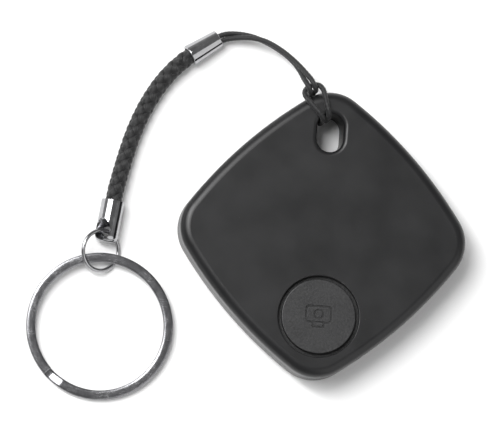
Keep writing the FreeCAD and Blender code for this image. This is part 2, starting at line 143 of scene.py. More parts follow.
def evenly_spaced(points, count):
    """The same line with its points an equal distance apart."""
    at = length_along(points)
    wanted = np.linspace(0.0, at[-1], count)
    return np.column_stack([np.interp(wanted, at, points[:, k]) for k in range(3)])


def unit(vectors):
    """Each vector divided by its own length."""
    return vectors / np.linalg.norm(vectors, axis=-1, keepdims=True)


# %% [markdown]
# ## The loop cord's route
#
# The thin cord is a closed loop: both its ends are crimped in the upper ferrule. Its
# middle goes down through the tag's lanyard hole, and the whole strap is pulled through
# the loop, which leaves a cow hitch round the corner of the tag.
#
# The two strands are mirror images. Between the ferrule and the hitch each strand stands
# half a millimetre to one side of a middle line: side by side at the ferrule, one above
# the other further on, and leaning past upright where they reach the hitch. At the hitch
# a point is given by three distances: across the corner, outward along it, and up.

# %% Lay out the loop cord's control points
STRAND_OFFSET = 0.5
LOOP_CRIMPED = 2.4
LOOP_STATIONS = 1500
STANDING = np.array([
    (-18.92, 32.70, 1.56, 0), (-16.50, 33.10, 1.90, 35), (-14.00, 33.05, 2.50, 65),
    (-11.50, 32.35, 3.30, 90), (-9.10, 31.00, 4.30, 90), (-7.10, 29.40, 5.40, 90),
    (-5.75, 27.80, 6.60, 105), (-4.80, 26.35, 7.60, 140)])
HITCH = np.array([
    (0.50, 6.35, 8.30), (0.50, 5.40, 8.65), (0.50, 4.50, 8.15), (0.50, 4.36, 7.00),
    (0.54, 4.42, 5.00), (0.54, 4.40, 3.10), (0.50, 4.24, 1.75), (0.50, 3.60, 0.70),
    (0.50, 2.25, 0.54), (0.50, 0.75, 0.56), (0.50, -0.42, 1.05), (0.52, -0.62, 2.30),
    (0.56, -0.68, 4.20), (0.54, -0.64, 6.40), (0.55, -0.52, 7.82), (0.72, 0.38, 8.62),
    (1.12, 1.95, 8.60), (1.46, 3.30, 8.50), (1.62, 4.20, 8.10), (1.38, 5.02, 7.50),
    (0.50, 5.45, 7.30)])
HITCH_CORNER = np.array((-1.14, 20.13, 0.0))
HITCH_HEADING = math.radians(120.0)
UPPER_MOUTH = np.array((-24.07, 29.08, 1.85))
UPPER_TIP = np.array((-19.33, 32.45, 1.55))
UP = np.array((0.0, 0.0, 1.0))
hitch_outward = np.array((math.cos(HITCH_HEADING), math.sin(HITCH_HEADING), 0.0))
hitch_across = np.array((math.sin(HITCH_HEADING), -math.cos(HITCH_HEADING), 0.0))
ferrule_forward = unit(UPPER_TIP - UPPER_MOUTH)


def standing_strand(side):
    """Middle line + side * offset * (across cos a + upward sin a), a from the table."""
    middle = STANDING[:, :3]
    last = len(middle) - 1
    order = np.arange(last + 1)
    forward = unit(middle[np.minimum(order + 1, last)] - middle[np.maximum(order - 1, 0)])
    across = -unit(np.cross(UP, forward))
    upward = unit(np.cross(across, forward))
    upward = upward * np.where(upward[:, 2:] < 0, -1.0, 1.0)
    lean = np.radians(STANDING[:, 3:])
    return middle + side * STRAND_OFFSET * (across * np.cos(lean) + upward * np.sin(lean))


def loop_strand(side):
    """One strand from inside the ferrule to the middle of the bight, in millimetres."""
    inside = UPPER_TIP - ferrule_forward * LOOP_CRIMPED
    sideways = -unit(np.cross(UP, ferrule_forward))
    start = inside + sideways * side * STRAND_OFFSET
    hitch = (HITCH_CORNER + hitch_across * (side * HITCH[:, :1])
             + hitch_outward * HITCH[:, 1:2] + UP * HITCH[:, 2:])
    return np.vstack([start, standing_strand(side), hitch])


loop_controls = np.vstack([loop_strand(1), loop_strand(-1)[::-1]]) * MM
loop_line = evenly_spaced(smooth_line("loop_line", loop_controls, 24), LOOP_STATIONS)
print("loop cord: %.1f mm" % (length_along(loop_line)[-1] / MM))

# %% [markdown]
# ## The strap's route
#
# The plaited strap runs from the upper ferrule to the lower one in a slack bow that lies
# on the table. Both its ends are glued a few millimetres deep into the ferrules, so the
# first and last control points are inside them, on their axes.

# %% Lay out the strap's control points
EYE = np.array((-35.94, -1.72, 1.95))
EYE_TO_MOUTH = 5.25
STRAP_GLUED = 3.0
UPPER_STRAIGHT, LOWER_STRAIGHT = 1.1, 1.4
STRAP_STATIONS = 420
LOWER_AXIS = unit(np.array((0.124, 0.9923, 0.0)))
lower_mouth = EYE + LOWER_AXIS * EYE_TO_MOUTH
strap_controls = np.array([
    UPPER_MOUTH + ferrule_forward * STRAP_GLUED,
    UPPER_MOUTH - ferrule_forward * UPPER_STRAIGHT,
    (-28.30, 24.65, 1.50), (-30.90, 20.00, 1.42), (-32.75, 15.10, 1.42),
    (-34.00, 10.00, 1.60), lower_mouth + LOWER_AXIS * LOWER_STRAIGHT,
    lower_mouth - LOWER_AXIS * STRAP_GLUED,
]) * MM
strap_line = evenly_spaced(smooth_line("strap_line", strap_controls, 48), STRAP_STATIONS)
print("strap: %.1f mm" % (length_along(strap_line)[-1] / MM))

# %% [markdown]
# ## From a grid of points to a piece
#
# A cord, a strand and a bent wire are all the same thing to a mesh: a closed outline
# carried along a line. That gives a grid of points, one row for each station and one
# column for each point of the outline. Neighbouring rows are joined by quads, the columns
# wrap round, and each end is closed by a fan of triangles to a middle point.
#
# Several such tubes can share one mesh, so all the strands of a plait are one piece. The
# UV map is in real units: u is millimetres along the tube and v is turns round it.

# %% Build closed tubes from grids
def tubes_piece(name, grids, along, body):
    """One object from grids[tube, station, column]; along[station] is the length there.

    Face (i, j) joins columns j and j+1 of rows i and i+1. If the volume enclosed, the
    sum of a . (b x c) / 6 over its triangles, comes out negative, all faces are turned.
    """
    tubes, rows, columns, _ = grids.shape
    middles = grids[:, [0, -1]].mean(axis=2)
    points = np.concatenate([grids.reshape(-1, 3), middles.reshape(-1, 3)])
    first = np.arange(tubes)[:, None, None] * rows * columns
    i = np.arange(rows - 1)[None, :, None]
    j = np.arange(columns)[None, None, :]
    after = (j + 1) % columns
    quads = np.stack([first + i * columns + j, first + i * columns + after,
                      first + (i + 1) * columns + after, first + (i + 1) * columns + j], -1)
    quads = quads.reshape(-1, 4)
    j = np.arange(columns)[None, :]
    after = (j + 1) % columns
    start_row = np.arange(tubes)[:, None] * rows * columns
    end_row = start_row + (rows - 1) * columns
    start_middle = tubes * rows * columns + np.arange(tubes)[:, None] * 2
    start_cap = np.stack([start_row + after, start_row + j, start_middle + 0 * j], -1)
    end_cap = np.stack([end_row + j, end_row + after, start_middle + 1 + 0 * j], -1)
    caps = np.concatenate([start_cap.reshape(-1, 3), end_cap.reshape(-1, 3)])

    a, b, c, d = (points[quads[:, k]] for k in range(4))
    enclosed = (np.einsum("ij,ij->", a, np.cross(b, c))
                + np.einsum("ij,ij->", a, np.cross(c, d)))
    turn = -1 if enclosed < 0 else 1
    corners = np.concatenate([quads[:, ::turn].ravel(), caps[:, ::turn].ravel()])
    sizes = np.concatenate([np.full(len(quads), 4), np.full(len(caps), 3)])
    starts = np.concatenate([[0], np.cumsum(sizes)[:-1]])

    mesh = bpy.data.meshes.new(name)
    mesh.vertices.add(len(points))
    mesh.vertices.foreach_set("co", points.ravel())
    mesh.loops.add(len(corners))
    mesh.loops.foreach_set("vertex_index", corners)
    mesh.polygons.add(len(sizes))
    mesh.polygons.foreach_set("loop_start", starts)
    mesh.polygons.foreach_set("use_smooth", sizes == 4)

    u = np.stack([along[:-1], along[:-1], along[1:], along[1:]], -1)[:, None, :]
    v = np.stack([j[0], j[0] + 1, j[0] + 1, j[0]], -1)[None, :, :] / columns
    u, v = np.broadcast_arrays(u, v)
    quad_uv = np.tile(np.stack([u, v], -1).reshape(-1, 4, 2), (tubes, 1, 1))[:, ::turn]
    cap_uv = np.zeros((len(caps) * 3, 2))
    layer = mesh.uv_layers.new(name="lay")
    layer.uv.foreach_set("vector", np.concatenate([quad_uv.reshape(-1, 2), cap_uv]).ravel())
    mesh.update(calc_edges=True)
    mesh.validate()
    piece = bpy.data.objects.new(name, mesh)
    bpy.context.scene.collection.objects.link(piece)
    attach(piece, body)
    print(name, "has", len(quads) * 2 + len(caps), "triangles")
    return piece


# %% [markdown]
# ## The loop cord
#
# The cord is eight fine carriers braided over a core: four wind one way round and four
# the other, each passing over one and under the next. At this size one surface can carry
# the whole braid, so it is a tube whose radius rises and falls.
#
# A ring of points needs two directions square to the cord's line. At the hitch the line
# stays in one upright plane, so the direction across that plane always serves. Along the
# rest the cord is nearly level, and straight up serves. The two are mixed by height.

# %% Weave the loop cord
LOOP_DIAMETER = 0.9 * MM
CARRIERS_EACH_WAY = 4
LOOP_REPEAT = 0.62 * MM
BRAID_FLOOR, BRAID_RISE = 0.86, 0.17
HITCH_REACH, HITCH_BLEND = 6.5, 4.0
LOOP_COLUMNS = 32


def side_and_over(line, hint):
    """Two unit vectors square to the line's tangent t: s = t x hint and o = s x t."""
    tangent = unit(np.gradient(line, axis=0))
    side = unit(np.cross(tangent, hint))
    return side, np.cross(side, tangent)


def braid_relief(turns, repeats):
    """Height of a one-over-one braid, about 0 in its hollows and 1 on its crowns.

    p = n turns - repeats and q = n turns + repeats number the carriers each way. Carrier
    p is a ridge |cos pi p|^0.7 that rides at 0.6 + 0.4 sign(cos pi p) cos pi q, and the
    carriers q ride the other way. The braid's surface is the higher of the two.
    """
    p = np.cos(np.pi * (CARRIERS_EACH_WAY * turns - repeats))
    q = np.cos(np.pi * (CARRIERS_EACH_WAY * turns + repeats))
    one_way = np.abs(p) ** 0.7 * (0.6 + 0.4 * np.sign(p) * q)
    other_way = np.abs(q) ** 0.7 * (0.6 - 0.4 * np.sign(q) * p)
    return np.maximum(one_way, other_way)


def soft_step(x):
    """0 below 0, 1 above 1, and 3x^2 - 2x^3 between."""
    x = np.clip(x, 0.0, 1.0)
    return x * x * (3.0 - 2.0 * x)


from_corner = (loop_line / MM - HITCH_CORNER) @ hitch_outward
at_hitch = 1.0 - soft_step((from_corner - HITCH_REACH) / HITCH_BLEND)[:, None]
hint = unit(UP * (1.0 - at_hitch) + hitch_across * at_hitch)
side, over = side_and_over(loop_line, hint)
loop_along = length_along(loop_line)
turns = np.arange(LOOP_COLUMNS) / LOOP_COLUMNS
relief = braid_relief(turns[None, :], loop_along[:, None] / LOOP_REPEAT)
radius = LOOP_DIAMETER / 2 * (BRAID_FLOOR + BRAID_RISE * relief)[:, :, None]
around = 2 * np.pi * turns[None, :, None]
loop_grid = loop_line[:, None] + radius * (side[:, None] * np.cos(around)
                                           + over[:, None] * np.sin(around))
loop_cord = tubes_piece("loop_cord", loop_grid[None], loop_along / MM, "tag")
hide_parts("thin_cord")

# %% [markdown]
# ## The plaited strap
#
# Here the carriers are thick enough to be seen one by one, so each is modelled: eight
# flat bundles of yarn, four winding each way. A carrier's middle line is a helix about
# the strap's line whose radius swings in and out, and the carriers that wind the other
# way swing oppositely, so wherever two cross one is outside and the other inside.
#
# A real plait is never perfectly even. Slow waves with a different phase for each
# carrier move it a little from its place.

# %% Plait the strap
PLAIT_REPEAT = 2.1 * MM
CARRIER_HALF_WIDTH = 0.62 * MM
CARRIER_HALF_THICKNESS = 0.30 * MM
PLAIT_RADIUS = 0.98 * MM
PLAIT_SWING = 0.17 * MM
FIRST_CARRIER_AT = 0.3
WANDER_ANGLE, WANDER_SWING = 0.05, 0.06
PINCHED = 0.93
PINCH_ENDS, PINCH_BLEND = 2.6 * MM, 1.2 * MM
STRAND_COLUMNS = 14
strap_side, strap_over = side_and_over(strap_line, UP)
strap_along = length_along(strap_line)
strap_length = strap_along[-1]
carrier = np.arange(2 * CARRIERS_EACH_WAY)[:, None]
way = np.where(carrier < CARRIERS_EACH_WAY, 1.0, -1.0)
wound = 2 * np.pi * strap_along[None] / (PLAIT_REPEAT * CARRIERS_EACH_WAY)
wander = WANDER_ANGLE * np.sin(1.9e3 * strap_along[None] + 2.4 * carrier)
angle = (way * wound + carrier * 2 * np.pi / CARRIERS_EACH_WAY + wander
         + FIRST_CARRIER_AT)
from_end = np.minimum(strap_along, strap_length - strap_along)[None]
squeeze = PINCHED + (1.0 - PINCHED) * soft_step((from_end - PINCH_ENDS) / PINCH_BLEND)
swing = way * np.cos(CARRIERS_EACH_WAY * wound)
swing = swing + WANDER_SWING * np.sin(2.7e3 * strap_along[None] + 1.7 * carrier)
reach = (PLAIT_RADIUS + PLAIT_SWING * swing) * squeeze
outward = (strap_side[None] * np.cos(angle)[..., None]
           + strap_over[None] * np.sin(angle)[..., None])
carrier_line = strap_line[None] + outward * reach[..., None]
heading = unit(np.gradient(carrier_line, axis=1))
breadth = unit(np.cross(heading, outward))
crown = np.cross(breadth, heading)
turns = 2 * np.pi * np.arange(STRAND_COLUMNS)[None, None, :, None] / STRAND_COLUMNS
plait_grid = (carrier_line[:, :, None]
              + breadth[:, :, None] * CARRIER_HALF_WIDTH * np.cos(turns)
              + crown[:, :, None] * CARRIER_HALF_THICKNESS * np.sin(turns))
strap = tubes_piece("strap", plait_grid, strap_along / MM, "tag")
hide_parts("braided_strap")

# %% [markdown]
# ## The key ring
#
# A split ring is flat wire wound twice round. It starts as the lower coil, and just
# before it would meet its own start it climbs to the upper coil, which ends in a cut
# face. One outline carried once along this path is the whole ring.
#
# The wire is rolled, so its outline is not a sharp rectangle. A superellipse, where
# |x/a|^n + |y/b|^n = 1, has flat sides that crown slightly and corners that round off.

# %% Wind the key ring
SPLIT_CENTRE = np.array((-36.08, -17.665, 0.0))
SPLIT_OUTER = 12.35
WIRE_BAND = 1.55
COIL_THICKNESS = 0.58
COIL_PITCH = 0.62
SPLIT_SLOPE = 0.0435
SPLIT_ABOVE_TABLE = 0.02
WIRE_SQUARENESS = 3.6
WIRE_COLUMNS = 44
COIL_STATIONS, CLIMB_STATIONS = 280, 24
LOWER_START, CLIMB_START, CLIMB_END, UPPER_END = 243.0, 588.0, 601.0, 945.0


def superellipse(half_wide, half_high, power, count):
    """x = a sign(cos t) |cos t|^(2/n) and y = b sign(sin t) |sin t|^(2/n)."""
    t = 2 * np.pi * (np.arange(count) + 0.5) / count
    x = half_wide * np.sign(np.cos(t)) * np.abs(np.cos(t)) ** (2 / power)
    y = half_high * np.sign(np.sin(t)) * np.abs(np.sin(t)) ** (2 / power)
    return x, y


def carried_round(centre, first, second, axis, radius, degrees, lift, outline):
    """Grid of centre + (radius + x)(first cos a + second sin a) + axis (lift + y)."""
    x, y = outline
    a = np.radians(degrees)[:, None]
    spoke = first * np.cos(a) + second * np.sin(a)
    reach = radius + x
    return (centre + spoke[:, None] * reach[..., None]
            + axis * (lift[:, None] + y)[..., None])


degrees = np.concatenate([np.linspace(LOWER_START, CLIMB_START, COIL_STATIONS)[:-1],
                          np.linspace(CLIMB_START, CLIMB_END, CLIMB_STATIONS)[:-1],
                          np.linspace(CLIMB_END, UPPER_END, COIL_STATIONS)])
climb = soft_step((degrees - CLIMB_START) / (CLIMB_END - CLIMB_START)) * COIL_PITCH
lean = unit(np.array((0.0, 1.0, SPLIT_SLOPE)))
ring_axis = np.cross(np.array((1.0, 0.0, 0.0)), lean)
ring_base = SPLIT_CENTRE + UP * (SPLIT_ABOVE_TABLE + SPLIT_SLOPE * SPLIT_OUTER)
x, y = superellipse(WIRE_BAND / 2, COIL_THICKNESS / 2, WIRE_SQUARENESS, WIRE_COLUMNS)
outline = (x[None, :], y[None, :])
split_grid = carried_round(ring_base, np.array((1.0, 0.0, 0.0)), lean, ring_axis,
                           SPLIT_OUTER - WIRE_BAND / 2, degrees,
                           COIL_THICKNESS / 2 + climb, outline) * MM
split_along = np.radians(degrees - LOWER_START) * (SPLIT_OUTER - WIRE_BAND / 2)
key_ring = tubes_piece("key_ring", split_grid[None], split_along, "split_ring")
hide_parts("split_ring")

# %% [markdown]
# ## The jump ring
#
# The small ring that joins the strap to the key ring is round wire bent until its cut
# ends almost meet. It leans, because it hangs in the ferrule's eye on one side and lies
# under the key ring on the other. Its ends are a touch thinner, as cutters leave them.

# %% Bend the jump ring
JUMP_RADIUS = 3.4
JUMP_WIRE = 0.35
JUMP_SLOPE = np.array((-0.486, 0.134))
JUMP_START, JUMP_END = -118.0, 240.8
JUMP_COLUMNS = 28
jump_heading = math.radians(75.2)
level = np.array((math.cos(jump_heading), math.sin(jump_heading)))
to_eye = unit(np.array((level[0], level[1], JUMP_SLOPE @ level)))
jump_axis = unit(np.array((-JUMP_SLOPE[0], -JUMP_SLOPE[1], 1.0)))
jump_across = np.cross(jump_axis, to_eye)
degrees = np.concatenate([[JUMP_START, JUMP_START + 0.3],
                          np.linspace(JUMP_START + 0.8, JUMP_END - 0.8, 230),
                          [JUMP_END - 0.3, JUMP_END]])
nip = np.ones((len(degrees), 1))
nip[[0, -1]] = 0.8
nip[[1, -2]] = 0.95
turns = 2 * np.pi * np.arange(JUMP_COLUMNS)[None] / JUMP_COLUMNS
outline = (JUMP_WIRE * nip * np.cos(turns), JUMP_WIRE * nip * np.sin(turns))
jump_grid = carried_round(EYE - to_eye * JUMP_RADIUS, to_eye, jump_across, jump_axis,
                          JUMP_RADIUS, degrees, np.zeros(len(degrees)), outline) * MM
jump_along = np.radians(degrees - JUMP_START) * JUMP_RADIUS
link_ring = tubes_piece("link_ring", jump_grid[None], jump_along, "jump_ring")
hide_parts("jump_ring")

# %% [markdown]
# ## What the cords are
#
# The loop cord leaves the tag at the lanyard hole and ends in the upper ferrule. The
# strap leaves the upper ferrule and ends in the lower one, which holds both rings.

# %% [markdown]
# ## Tools for finishes
#
# A finish is a material made of nodes: patterns feed masks, and masks move colour,
# roughness and fine relief a little. Five small helpers keep the recipes short. One
# places a node and sets its inputs, one does a step of arithmetic, one starts an effect,
# one puts an effect to use in a material, and one starts a material.
#
# An effect is a node group with named inputs and outputs. It is built once and placed in
# every material that needs it, with that material's own numbers.

# %% Helpers for nodes
def place(tree, kind, inputs=(), **settings):
    """A new node, its settings given by name and its inputs as (socket, value) pairs.

    A value that is itself a socket is linked instead of copied.
    """
    made = tree.nodes.new("ShaderNode" + kind)
    for key, value in settings.items():
        setattr(made, key, value)
    for key, value in inputs:
        if isinstance(value, bpy.types.NodeSocket):
            tree.links.new(value, made.inputs[key])
        else:
            made.inputs[key].default_value = value
    return made


def maths(tree, operation, *values):
    """The result of one step of arithmetic on numbers or sockets."""
    return place(tree, "Math", enumerate(values), operation=operation).outputs[0]


def new_effect(name, takes, gives):
    """An empty effect: its tree, the node holding its inputs and the one for its outputs."""
    tree = bpy.data.node_groups.new(name, "ShaderNodeTree")
    for label, kind, value in takes:
        socket = tree.interface.new_socket(label, in_out="INPUT",
                                           socket_type="NodeSocket" + kind)
        if value is not None:
            socket.default_value = value
    for label in gives:
        tree.interface.new_socket(label, in_out="OUTPUT", socket_type="NodeSocketFloat")
    return tree, tree.nodes.new("NodeGroupInput"), tree.nodes.new("NodeGroupOutput")


def use(tree, effect, where, **inputs):
    """That effect placed in a material at those coordinates, with its own inputs."""
    return place(tree, "Group", [(0, where), *inputs.items()], node_tree=effect)


def new_finish(name, roughness, metallic=0.0, specular=0.5):
    """A material's tree, its shader, and the piece's own coordinates and UV."""
    finish = bpy.data.materials.new(name)
    finish.use_nodes = True
    tree = finish.node_tree
    shader = tree.nodes["Principled BSDF"]
    shader.inputs["Roughness"].default_value = roughness
    shader.inputs["Metallic"].default_value = metallic
    shader.inputs["Specular IOR Level"].default_value = specular
    where = tree.nodes.new("ShaderNodeTexCoord")
    return tree, shader, where


# %% [markdown]
# ## Effect: mottle
#
# No surface is one even colour. Soft noise of a chosen size, stretched to run from one
# value to another, serves as a mask for colour or as roughness itself.

# %% Mottle
mottle, taken, given = new_effect(
    "mottle", [("Vector", "Vector", None), ("Size", "Float", 0.004),
               ("From", "Float", 0.0), ("To", "Float", 1.0)], ["Value"])
per_metre = maths(mottle, "DIVIDE", 1.0, taken.outputs["Size"])
clouds = place(mottle, "TexNoise", [("Vector", taken.outputs["Vector"]),
                                    ("Scale", per_metre), ("Detail", 4.0)])
ranged = place(mottle, "MapRange", [("Value", clouds.outputs["Fac"]), ("From Min", 0.3),
                                    ("From Max", 0.7), ("To Min", taken.outputs["From"]),
                                    ("To Max", taken.outputs["To"])])
mottle.links.new(ranged.outputs["Result"], given.inputs["Value"])

# %% [markdown]
# ## Effect: moulded grain
#
# A steel mould is spark-eroded, which leaves tiny rounded pits, and the plastic copies
# them as bumps. Noise at two sizes, the finer one weaker, gives their height.

# %% Moulded grain
grain, taken, given = new_effect(
    "moulded_grain", [("Vector", "Vector", None), ("Size", "Float", 0.0003)], ["Height"])
per_metre = maths(grain, "DIVIDE", 1.0, taken.outputs["Size"])
coarse = place(grain, "TexNoise", [("Vector", taken.outputs["Vector"]),
                                   ("Scale", per_metre), ("Detail", 1.0)])
finer = maths(grain, "MULTIPLY", per_metre, 2.7)
fine = place(grain, "TexNoise", [("Vector", taken.outputs["Vector"]),
                                 ("Scale", finer), ("Detail", 2.0)])
summed = maths(grain, "MULTIPLY_ADD", fine.outputs["Fac"], 0.45, coarse.outputs["Fac"])
grain.links.new(summed, given.inputs["Height"])

# %% [markdown]
# ## Effect: drawn streaks
#
# Rolled, drawn and brushed metal has fine lines all in one direction. They are noise
# squeezed across the lines and stretched along them, so the vector is scaled by a
# different amount on each axis first.

# %% Drawn streaks
streaks, taken, given = new_effect(
    "drawn_streaks", [("Vector", "Vector", None), ("Stretch", "Vector", (1.0, 1.0, 1.0))],
    ["Value"])
scaled = place(streaks, "VectorMath", [(0, taken.outputs["Vector"]),
                                       (1, taken.outputs["Stretch"])], operation="MULTIPLY")
lines = place(streaks, "TexNoise", [("Vector", scaled.outputs[0]), ("Scale", 1.0),
                                    ("Detail", 3.0), ("Roughness", 0.65)])
crisp = place(streaks, "MapRange", [("Value", lines.outputs["Fac"]), ("From Min", 0.32),
                                    ("From Max", 0.68)])
streaks.links.new(crisp.outputs["Result"], given.inputs["Value"])

# %% [markdown]
# ## Effect: handling scratches
#
# Metal that lives with keys picks up hairlines in every direction. Two sets of stretched
# noise, turned to different angles, are cut off so high that only thin threads remain.

# %% Handling scratches
scratches, taken, given = new_effect(
    "handling_scratches", [("Vector", "Vector", None), ("Size", "Float", 0.004),
                           ("Rarity", "Float", 0.66)], ["Mask"])
per_metre = maths(scratches, "DIVIDE", 1.0, taken.outputs["Size"])
threads = []
for turn in ((0.3, 0.2, 0.6), (0.1, 0.5, 2.1)):
    turned_to = place(scratches, "Mapping", [("Vector", taken.outputs["Vector"]),
                                             ("Rotation", turn), ("Scale", (1.0, 26.0, 8.0))])
    thread = place(scratches, "TexNoise", [("Vector", turned_to.outputs[0]),
                                           ("Scale", per_metre), ("Detail", 2.0)])
    threads.append(thread.outputs["Fac"])
strongest = maths(scratches, "MAXIMUM", threads[0], threads[1])
cut_off = place(scratches, "MapRange", [("Value", strongest),
                                        ("From Min", taken.outputs["Rarity"]),
                                        ("From Max", 0.80)])
scratches.links.new(cut_off.outputs["Result"], given.inputs["Mask"])

# %% [markdown]
# ## Effect: edge wear
#
# Edges are touched most, so they are polished or paler. The Bevel node gives the normal
# that a rounded edge would have. Where it turns away from the true normal, there is an
# edge within reach.

# %% Edge wear
edge_wear, taken, given = new_effect(
    "edge_wear", [("Vector", "Vector", None), ("Broken", "Float", 0.001)], ["Mask"])
rounded = place(edge_wear, "Bevel", [("Radius", 0.00012)], samples=4)
truly = place(edge_wear, "NewGeometry")
same_way = place(edge_wear, "VectorMath", [(0, rounded.outputs["Normal"]),
                                           (1, truly.outputs["Normal"])],
                 operation="DOT_PRODUCT")
bent = place(edge_wear, "MapRange", [("Value", same_way.outputs["Value"]),
                                     ("From Min", 0.995), ("From Max", 0.80)])
per_metre = maths(edge_wear, "DIVIDE", 1.0, taken.outputs["Broken"])
patches = place(edge_wear, "TexNoise", [("Vector", taken.outputs["Vector"]),
                                        ("Scale", per_metre), ("Detail", 3.0)])
worn = maths(edge_wear, "MULTIPLY", bent.outputs["Result"], patches.outputs["Fac"])
edge_wear.links.new(worn, given.inputs["Mask"])

# %% [markdown]
# ## Effect: dust
#
# A few pale specks make a black surface look real. A Voronoi texture scatters points in
# cells. A speck is drawn close to a point, and only in the few cells whose random colour
# comes out high.

# %% Dust
dust, taken, given = new_effect(
    "dust", [("Vector", "Vector", None), ("Spacing", "Float", 0.0015),
             ("Speck", "Float", 0.05), ("Rarity", "Float", 0.85)], ["Mask"])
per_metre = maths(dust, "DIVIDE", 1.0, taken.outputs["Spacing"])
cells = place(dust, "TexVoronoi", [("Vector", taken.outputs["Vector"]),
                                   ("Scale", per_metre)])
near = maths(dust, "LESS_THAN", cells.outputs["Distance"], taken.outputs["Speck"])
random_of_cell = place(dust, "SeparateColor", [("Color", cells.outputs["Color"])])
chosen = maths(dust, "GREATER_THAN", random_of_cell.outputs["Red"], taken.outputs["Rarity"])
speck = maths(dust, "MULTIPLY", near, chosen)
dust.links.new(speck, given.inputs["Mask"])

# %% [markdown]
# ## Effect: yarn
#
# A carrier of a plait is a bundle of fine filaments that lie nearly along it. The UV map
# gives turns round the bundle and millimetres along it. Adding a little of the second to the
# first slants the filaments, as twist does. The Shade output is painted shade: darker in the
# grooves between filaments and lighter on their crowns.

# %% Yarn
FULL_TURN = 6.2832
yarn, taken, given = new_effect(
    "yarn", [("UV", "Vector", None), ("Filaments", "Float", 14.0),
             ("Slant", "Float", 0.15)], ["Height", "Shade"])
lay = place(yarn, "SeparateXYZ", [("Vector", taken.outputs["UV"])])
slanted = maths(yarn, "MULTIPLY_ADD", lay.outputs["X"], taken.outputs["Slant"],
                lay.outputs["Y"])
counted = maths(yarn, "MULTIPLY", slanted, taken.outputs["Filaments"])
stretched = place(yarn, "CombineXYZ", [("X", lay.outputs["X"]), ("Y", counted)])
loose = place(yarn, "TexNoise", [("Vector", stretched.outputs[0]), ("Scale", 1.3),
                                 ("Detail", 2.0)])
turned_by = maths(yarn, "MULTIPLY", counted, FULL_TURN)
shifted = maths(yarn, "MULTIPLY_ADD", loose.outputs["Fac"], 5.0, turned_by)
ridge = maths(yarn, "COSINE", shifted)
height = place(yarn, "MapRange", [("Value", ridge), ("From Min", -1.0)])
# Painted shade: the relief height times a loose random tone, dark between filaments and light
# on their crowns.
painted_shade = maths(yarn, "MULTIPLY", height.outputs["Result"], loose.outputs["Fac"])
yarn.links.new(height.outputs["Result"], given.inputs["Height"])
yarn.links.new(painted_shade, given.inputs["Shade"])
print("effects:", ", ".join(group.name for group in bpy.data.node_groups))

# %% [markdown]
# ## Putting masks to work
#
# Every recipe ends the same way: a mask mixes two colours into the base colour, another
# sets the roughness, and a height goes through a Bump node into the normal. Heights are
# in metres, so the relief has its real depth.

# %% Helpers that feed the shader
def colour_by(tree, shader, mask, low, high):
    """Base colour from low, where the mask is 0, to high, where it is 1."""
    mix = place(tree, "Mix", data_type="RGBA")
    tree.links.new(mask, mix.inputs["Factor"])
    mix.inputs["A"].default_value = (*low, 1.0)
    mix.inputs["B"].default_value = (*high, 1.0)
    mixed = [s for s in mix.outputs if s.type == "RGBA"][0]
    tree.links.new(mixed, shader.inputs["Base Color"])


def roughness_by(tree, shader, mask, low, high):
    """Roughness from low to high with the mask."""
    ranged = place(tree, "MapRange", [("Value", mask), ("To Min", low), ("To Max", high)])
    tree.links.new(ranged.outputs["Result"], shader.inputs["Roughness"])


def relief_by(tree, shader, height, depth, strength=1.0):
    """Fine relief: the height times depth, in metres, bends the normal."""
    bump = place(tree, "Bump", [("Height", height), ("Distance", depth),
                                ("Strength", strength)])
    tree.links.new(bump.outputs["Normal"], shader.inputs["Normal"])


def both(tree, first, second, operation="ADD"):
    """Two masks combined by one step of arithmetic, kept between 0 and 1."""
    return place(tree, "Math", [(0, first), (1, second)], operation=operation,
                 use_clamp=True).outputs[0]


def wear(name, *pieces):
    """Give a finish to pieces or CAD nodes, in place of what they had."""
    for piece in pieces:
        shown = nodes[piece] if isinstance(piece, str) else piece
        shown.data.materials.clear()
        shown.data.materials.append(bpy.data.materials[name])
    print(name, "on", len(pieces), "piece" if len(pieces) == 1 else "pieces")


# %% [markdown]
# ## The case: soft-touch black plastic
#
# Both shells are moulded in black plastic with a thin matt lacquer that feels like
# rubber. It has no sharp reflection, but a low gloss along its rounded edges. Fingers
# leave faint broad patches of a different gloss.

# %% Case finish
tree, shader, where = new_finish("soft_touch_black", 0.36, specular=0.38)
here = where.outputs["Object"]
patch = use(tree, mottle, here, Size=0.007)
fine_grain = use(tree, grain, here, Size=0.00022)
worn_edge = use(tree, edge_wear, here, Broken=0.0012)
specks = use(tree, dust, here, Spacing=0.0016, Speck=0.035)
paler = both(tree, worn_edge.outputs["Mask"], specks.outputs["Mask"])
tint = maths(tree, "MULTIPLY_ADD", patch.outputs["Value"], 0.12, paler)
colour_by(tree, shader, tint, (0.007, 0.007, 0.0075), (0.038, 0.038, 0.040))
roughness_by(tree, shader, patch.outputs["Value"], 0.33, 0.40)
relief_by(tree, shader, fine_grain.outputs["Height"], 0.000004, 0.6)
wear("soft_touch_black", "front_shell", "back_shell")
